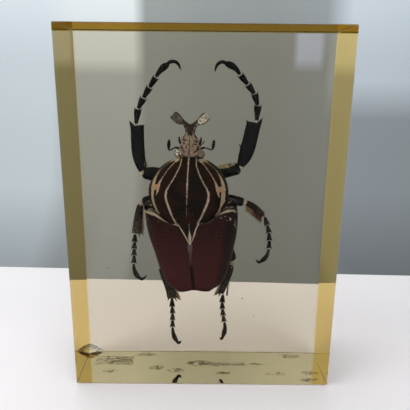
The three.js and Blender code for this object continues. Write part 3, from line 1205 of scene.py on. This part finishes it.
def underside(finish):
    def shell(name, body, stations):
        bm = bmesh.new()
        ring_line = [((0, v, w), wide, thick) for v, w, wide, thick in stations]
        limb(bm, ring_line, rings=34, sides=48, ends=0.08, facing=OUT)
        made = piece(bm, name, finish, body)
        mark(made, "to_dusted", body, lambda u, v, w: 1.3 - 0.12 * np.abs(u))

    for name, (body, stations) in CHEST.items():
        shell(name, body, stations)
    front = BELLY_FRONT
    for number, (rear, wide, thick) in enumerate(BELLY_RINGS, 1):
        stations = [
            (front + 0.6, BELLY_W, wide * 0.99, thick * 0.97),
            ((front + rear) / 2, BELLY_W, wide, thick),
            (rear + 0.3, BELLY_W, wide * 0.965, thick * 0.99),
            (rear, BELLY_W, wide * 0.9, thick * 0.9),
        ]
        shell(f"sternite_{number}", HIND, stations)
        front = rear
    bm = bmesh.new()
    ball(bm, (0, -49.2, -0.8), (8.2, 2.9, 4.0), 40)
    made = piece(bm, "pygidium", finish, HIND)
    mark(made, "to_dusted", HIND, lambda u, v, w: np.full(len(u), 0.4))


# The first joint of each leg, from the body out: (u, v, w) of both ends, and its half width.
HIPS = {
    "front": (FORE, (6.2, 5.5, -6.5), (1.6, 7.5, -10.4), 3.0),
    "middle": (HIND, (8.5, -7.5, -8.0), (2.6, -8.5, -11.0), 2.9),
    "hind": (HIND, (17.5, -19.5, -7.0), (1.8, -20.5, -10.6), 3.1),
}


def hips(finish):
    for pair, (body, outer, inner, wide) in HIPS.items():
        for side, hand in ((-1, "left"), (1, "right")):
            ends = [Vector((side * p[0], p[1], p[2])) for p in (outer, inner)]
            bm = bmesh.new()
            middle = (ends[0].lerp(ends[1], 0.5), wide, wide * 0.6)
            stations = [(ends[0], wide * 0.8, wide * 0.5), middle, (ends[1], wide * 0.6, wide * 0.5)]
            limb(bm, stations, rings=22, sides=26, ends=0.2, facing=OUT)
            place = body.inverted() @ spot(*LEGS[f"{pair}_{hand}"]["thigh"][0][:3])
            ball(bm, place, (2.0, 1.9, 1.6), 26)
            piece(bm, f"coxa_{pair}_{hand}", finish, body)


# ---- The block ----

RIM_GAP = 0.05
RIM_ROUNDING = 0.62
RIM_SKIN = 0.8


def yellowed_rim():
    """A thin skin just under the left, right, top and bottom faces, open to the front and the back."""
    bm = bmesh.new()
    bmesh.ops.create_cube(bm, size=1)
    stretch = Matrix.Diagonal((WIDTH - 2 * RIM_GAP, DEPTH - 2 * RIM_GAP, HEIGHT - 2 * RIM_GAP, 1))
    middle = (LOW + HIGH) / 2
    bmesh.ops.transform(bm, matrix=Matrix.Translation(middle) @ stretch, verts=bm.verts)
    bmesh.ops.bevel(
        bm, geom=bm.edges[:], offset=RIM_ROUNDING, segments=4, profile=0.5, affect="EDGES", material=-1
    )
    ends = sorted(bm.faces, key=lambda f: abs(f.normal.y) * f.calc_area())[-2:]
    bmesh.ops.inset_individual(bm, faces=ends, thickness=RIM_SKIN - RIM_ROUNDING, use_even_offset=True)
    loops = list(dict.fromkeys(e for f in ends for e in f.edges))
    bmesh.ops.delete(bm, geom=ends, context="FACES_ONLY")
    bmesh.ops.bridge_loops(bm, edges=loops)
    piece(bm, "yellowed_rim", yellowed_resin(), smooth=False)


# Old glue and rubbed marks on the resting face: (left, right, nearest, furthest) as X and depth in
# millimetres, how thickly they lie, and how much of that is in the outline.
MARKS = [
    (-59.5, -38.2, 28.4, 43.4, 0.15, 0.5), (-57.5, -39.5, 29.0, 43.0, 0.19, 0),
    (-45.5, -38.8, 29.0, 43.0, 0.13, 0.5), (-10.0, 7, 27.0, 37.5, 0.3, 0), (1, 18, 26.5, 35.0, 0.22, 0),
    (12, 36, 27.5, 34.5, 0.15, 0), (-30, -20, 21.0, 28.0, 0.32, 0), (-20, -9, 16.4, 25.0, 0.22, 0),
    (7, 16, 13.6, 20.0, 0.26, 0), (43, 57, 41.0, 49.4, 0.22, 0), (-38, -26, 42.0, 49.6, 0.2, 0),
    (53, 64, 14.4, 21.4, 0.22, 0), (51, 62, 4.0, 11, 0.22, 0), (-54, -45, 15.5, 22.5, 0.14, 0),
    (34, 46, 12.0, 20.0, 0.12, 0),
]
MARK_HEIGHT = 0.06
MARK_CELL = 0.24
MOST_COVER = 0.55


def resting_marks(finish):
    """Thin smudges of fine grains just inside the bottom face, seen through the front."""
    grains = random.Random(7)
    bm = bmesh.new()
    for number, (left, right, near, far, cover, outline) in enumerate(MARKS):
        wide, deep = right - left, far - near
        columns, rows = round(wide / MARK_CELL), round(deep / MARK_CELL)
        corners = bmesh.ops.create_grid(bm, x_segments=columns, y_segments=rows, size=1)["verts"]
        gone = []
        for face in dict.fromkeys(face for v in corners for face in v.link_faces):
            s, t, _ = face.calc_center_median()
            cloud = 0.5 + 1.15 * noise.noise(Vector((s * wide / 7 + 17 * number, t * deep / 3.6, number)))
            if outline:
                border = min((1 - abs(s)) * wide, (1 - abs(t)) * deep) / 2
                rim = math.exp(-(((border - 1.0 - cloud) / 0.9) ** 2)) * (0.2 + max(cloud, 0))
                density = cover * (outline * 1.8 * rim + (1 - outline) * 1.6 * cloud)
            else:
                density = cover * 2.2 * max(1 - s * s - t * t, 0) * cloud
            if grains.random() > min(density, MOST_COVER):
                gone.append(face)
        spread = Matrix.Diagonal((wide / 2, deep / 2, 1, 1))
        centre = Matrix.Translation(spot((left + right) / 2, MARK_HEIGHT, (near + far) / 2))
        bmesh.ops.transform(bm, matrix=centre @ spread, verts=corners)
        bmesh.ops.delete(bm, geom=gone, context="FACES")
    piece(bm, "resting_marks", finish, wall=0.03)


# Specks of dust cast into the resin: (x, z, depth, radius).
SPECKS = [
    (47.6, 84.0, 30, 0.35), (21.3, 38.6, 34, 0.32), (27.6, 29.6, 30, 0.25), (-49, 58, 26, 0.3),
    (40, 128, 34, 0.25), (-20, 30, 40, 0.25),
]


def dust(finish):
    bm = bmesh.new()
    for number, (x, z, depth, radius) in enumerate(SPECKS):
        made = ball(bm, spot(x, z, depth), (radius, radius, radius), 10)
        for v in made:
            v.co += 0.35 * radius * noise.noise_vector(v.co * 3 + Vector((number, 0, 0)))
    piece(bm, "cast_in_dust", finish)


# Where dirt has packed into the break, from the left face to the back face: (x, depth, z). The last part
# of the line is clean.
GRIME_LINE = [(-64.6, 46.9, 0.3), (-62.0, 47.4, 0.35), (-59.6, 48.9, 0.35), (-57.4, 50.9, 0.3)]
GRIME_GRAINS = 46
GRAINS_TO_THE_END = 59


def corner_grime(finish):
    """Dirt that has packed into the lower edge of the break."""
    bm = bmesh.new()
    for number in range(GRIME_GRAINS):
        x, depth, height = along(GRIME_LINE, number / GRAINS_TO_THE_END)
        drift = Vector([noise.noise(Vector((number, shift, 0))) for shift in (0.5, 4.5, 9.5)])
        size = 0.26 + 0.2 * drift.z
        made = ball(bm, spot(x, height, depth) + drift * 0.5, (size * 1.5, size, size * 0.6), 8)
        for v in made:
            v.co += 0.12 * noise.noise_vector(v.co * 3)
            v.co.x = max(v.co.x, LOW.x + 0.1)
            v.co.y = min(v.co.y, HIGH.y - 0.1)
            v.co.z = max(v.co.z, 0.05)
    piece(bm, "corner_grime", finish)


BLOCK.data.materials.clear()
BLOCK.data.materials.append(polished_resin())


# ---- Camera and studio ----

YAW, PITCH, ROLL = (math.radians(a) for a in (0.16, 14.90, 0.56))
CAMERA_PLACE = (0.0001, -0.23325, 0.1516)
LENS = 40.45
SENSOR = 36


def camera():
    ahead = Vector((math.sin(YAW) * math.cos(PITCH), math.cos(YAW) * math.cos(PITCH), -math.sin(PITCH)))
    level = Vector((math.cos(YAW), -math.sin(YAW), 0))
    upright = level.cross(ahead)
    right = level * math.cos(ROLL) + upright * math.sin(ROLL)
    above = upright * math.cos(ROLL) - level * math.sin(ROLL)
    lens = bpy.data.cameras.new("camera")
    lens.lens = LENS
    lens.sensor_width = SENSOR
    lens.clip_start = 0.01
    lens.clip_end = 10
    made = add_object("camera", lens)
    turned = Matrix((right, above, -ahead)).transposed().to_4x4()
    made.matrix_world = Matrix.Translation(CAMERA_PLACE) @ turned
    scene.camera = made


def stage_piece(name, bm, finish, smooth):
    made = mesh_object(bm, name, finish.material, smooth)


TABLE_BACK = 0.1245
TABLE_TURN = math.radians(-1.9)
TABLE_SIZE = Vector((2.4, 0.5, 0.02))


def table():
    finish = Finish("table_top")
    finish.colour(finish.blend(finish.noise(60, 2), (0.73, 0.705, 0.715), (0.77, 0.745, 0.755)))
    finish.shader.inputs["Roughness"].default_value = 0.42
    bm = bmesh.new()
    bmesh.ops.create_cube(bm, size=1)
    bmesh.ops.transform(bm, matrix=Matrix.Diagonal((*TABLE_SIZE, 1)), verts=bm.verts)
    bmesh.ops.bevel(bm, geom=bm.edges[:], offset=0.0015, segments=3, profile=0.5, affect="EDGES", material=-1)
    set_back = Matrix.Translation((0, -TABLE_SIZE.y / 2, -TABLE_SIZE.z / 2 - 0.0003))
    back_edge = Matrix.Translation((0, TABLE_BACK, 0)) @ Matrix.Rotation(TABLE_TURN, 4, "Z")
    bmesh.ops.transform(bm, matrix=back_edge @ set_back, verts=bm.verts)
    stage_piece("table", bm, finish, smooth=False)


# The backdrop's section: (y, z), from under the table up the wall.
SWEEP = [
    (-1.5, -0.4), (0.5, -0.4), (0.8, -0.4), (1.05, -0.33), (1.23, -0.15), (1.3, 0.1), (1.3, 0.4),
    (1.3, 1.0), (1.3, 2.2),
]
SWEEP_WIDTH = 6
# Its painted light and shade from left to right: where each starts, where it is reached, and its colour.
BACKDROP_LIGHT_AND_SHADE = [
    (-0.225, -0.185, (0.29, 0.306, 0.30)), (-0.16, 0, (0.268, 0.286, 0.281)),
    (0.2, 0.45, (0.31, 0.34, 0.36)),
]


def backdrop():
    """A pale seamless sweep behind the table, with painted light making it lighter at the left and at the
    top.
    """
    finish = Finish("backdrop", Roughness=0.9)
    place = finish.add("SeparateXYZ", _0=finish.place).outputs
    across, up = place[0], place[2]
    # Painted light: darker low down and lighter above.
    left = finish.blend(finish.between(up, 0.17, 0.22), (0.43, 0.455, 0.46), (0.68, 0.72, 0.725))
    tone = finish.blend(finish.between(across, -0.50, -0.40), (0.61, 0.675, 0.705), left)
    for start, end, further in BACKDROP_LIGHT_AND_SHADE:
        tone = finish.blend(finish.between(across, start, end), tone, further)
    # A painted patch of window light, low on the right.
    window = finish.product(finish.between(across, 0.38, 0.46), finish.between(up, 0.04, 0.16))
    tone = finish.blend(window, tone, (0.58, 0.64, 0.69))
    # The bluish light of the room beyond, high on the right.
    beyond = finish.between(across, 0.275, 0.295)
    for ramp in ((across, 0.36, 0.38, 1, 0), (up, 0.185, 0.225), (up, 0.305, 0.33, 1, 0)):
        beyond = finish.product(beyond, finish.between(*ramp))
    tone = finish.blend(beyond, tone, (0.47, 0.52, 0.66))
    # Painted light and shade high up the wall.
    ceiling = finish.blend(finish.between(across, -0.25, -0.1), (0.35, 0.365, 0.36), (0.28, 0.295, 0.29))
    ceiling = finish.blend(finish.between(across, 0.1, 0.4), ceiling, (0.42, 0.44, 0.44))
    tone = finish.blend(finish.between(up, 0.45, 0.7), tone, ceiling)
    # dusk paints shade low down at both sides, and height paints the wall brighter towards the top.
    beside = finish.between(finish.add("Math", {"operation": "ABSOLUTE"}, _0=across).outputs[0], 0.3, 0.42)
    dusk = finish.product(beside, finish.between(up, -0.44, -0.18, -0.32, 0))
    height = finish.sum(finish.between(up, -0.42, 0.4, 0.68, 1.25), dusk)
    finish.colour(finish.add("VectorMath", {"operation": "SCALE"}, _0=tone, _3=height).outputs[0])

    def place_at(s, t):
        y, z = along(SWEEP, t)
        return ((s - 0.5) * SWEEP_WIDTH, y, z)

    stage_piece("backdrop", plate(2, 48, place_at), finish, smooth=True)


def softbox(name, place, target, size, power):
    light = bpy.data.lights.new(name, "AREA")
    light.shape = "SQUARE"
    light.size = size
    light.energy = power
    made = add_object(name, light)
    made.location = place
    made.rotation_mode = "QUATERNION"
    made.rotation_quaternion = (Vector(target) - Vector(place)).to_track_quat("-Z", "Y")


def daylight():
    world = bpy.data.worlds.new("daylight")
    world.use_nodes = True
    sky = world.node_tree.nodes["Background"].inputs
    sky["Color"].default_value = (0.93, 0.95, 0.98, 1)
    sky["Strength"].default_value = 0.64
    scene.world = world
    softbox("window", (-0.85, -0.42, 0.85), (-0.05, 0, 0.06), 0.8, 7.2)
    softbox("room", (0.5, -1.0, 0.8), (0, -0.05, 0.02), 0.9, 7.2)
    softbox("wash", (-0.3, 0.45, 1.6), (-0.25, 1.3, 0.1), 1.0, 11)


BOUNCES = 24


def light_paths():
    """Enough bounces for light that goes in through the block, round the beetle and out again."""
    scene.view_settings.view_transform = "Standard"
    scene.cycles.max_bounces = BOUNCES
    scene.cycles.transmission_bounces = BOUNCES
    scene.cycles.glossy_bounces = 16
    scene.cycles.transparent_max_bounces = 16
    scene.cycles.diffuse_bounces = 4


# ---- Everything put together ----

cuticle = black_cuticle()
velvet = elytron_velvet()
shell = underside_shell()
skin = joint_skin_and_glint()
hairs = {
    "red": hair("red_hair", (0.10, 0.03, 0.015), (0.22, 0.09, 0.045)),
    "tan": hair("tan_hair", (0.27, 0.19, 0.12), (0.58, 0.46, 0.32)),
}
draw = random.Random(41)

thorax_shield()
for side, hand in ((-1, "left"), (1, "right")):
    wing_case(side, f"elytron_{hand}", velvet)
    shoulder_wedge(side, f"mesepimeron_{hand}", shell)
scutellum()
head_capsule()
forked_horn()
face_lobes(cuticle)
eyes()
mouthparts(cuticle)
for name in FEELERS:
    feeler(name, cuticle)
for name in LEGS:
    leg(name, cuticle, skin)
for name in FRINGES:
    fringe(name, hairs, draw)
underside(shell)
hips(cuticle)
yellowed_rim()
resting_marks(residue())
dust(chip_grime())
corner_grime(chip_grime())
camera()
table()
backdrop()
daylight()
light_paths()
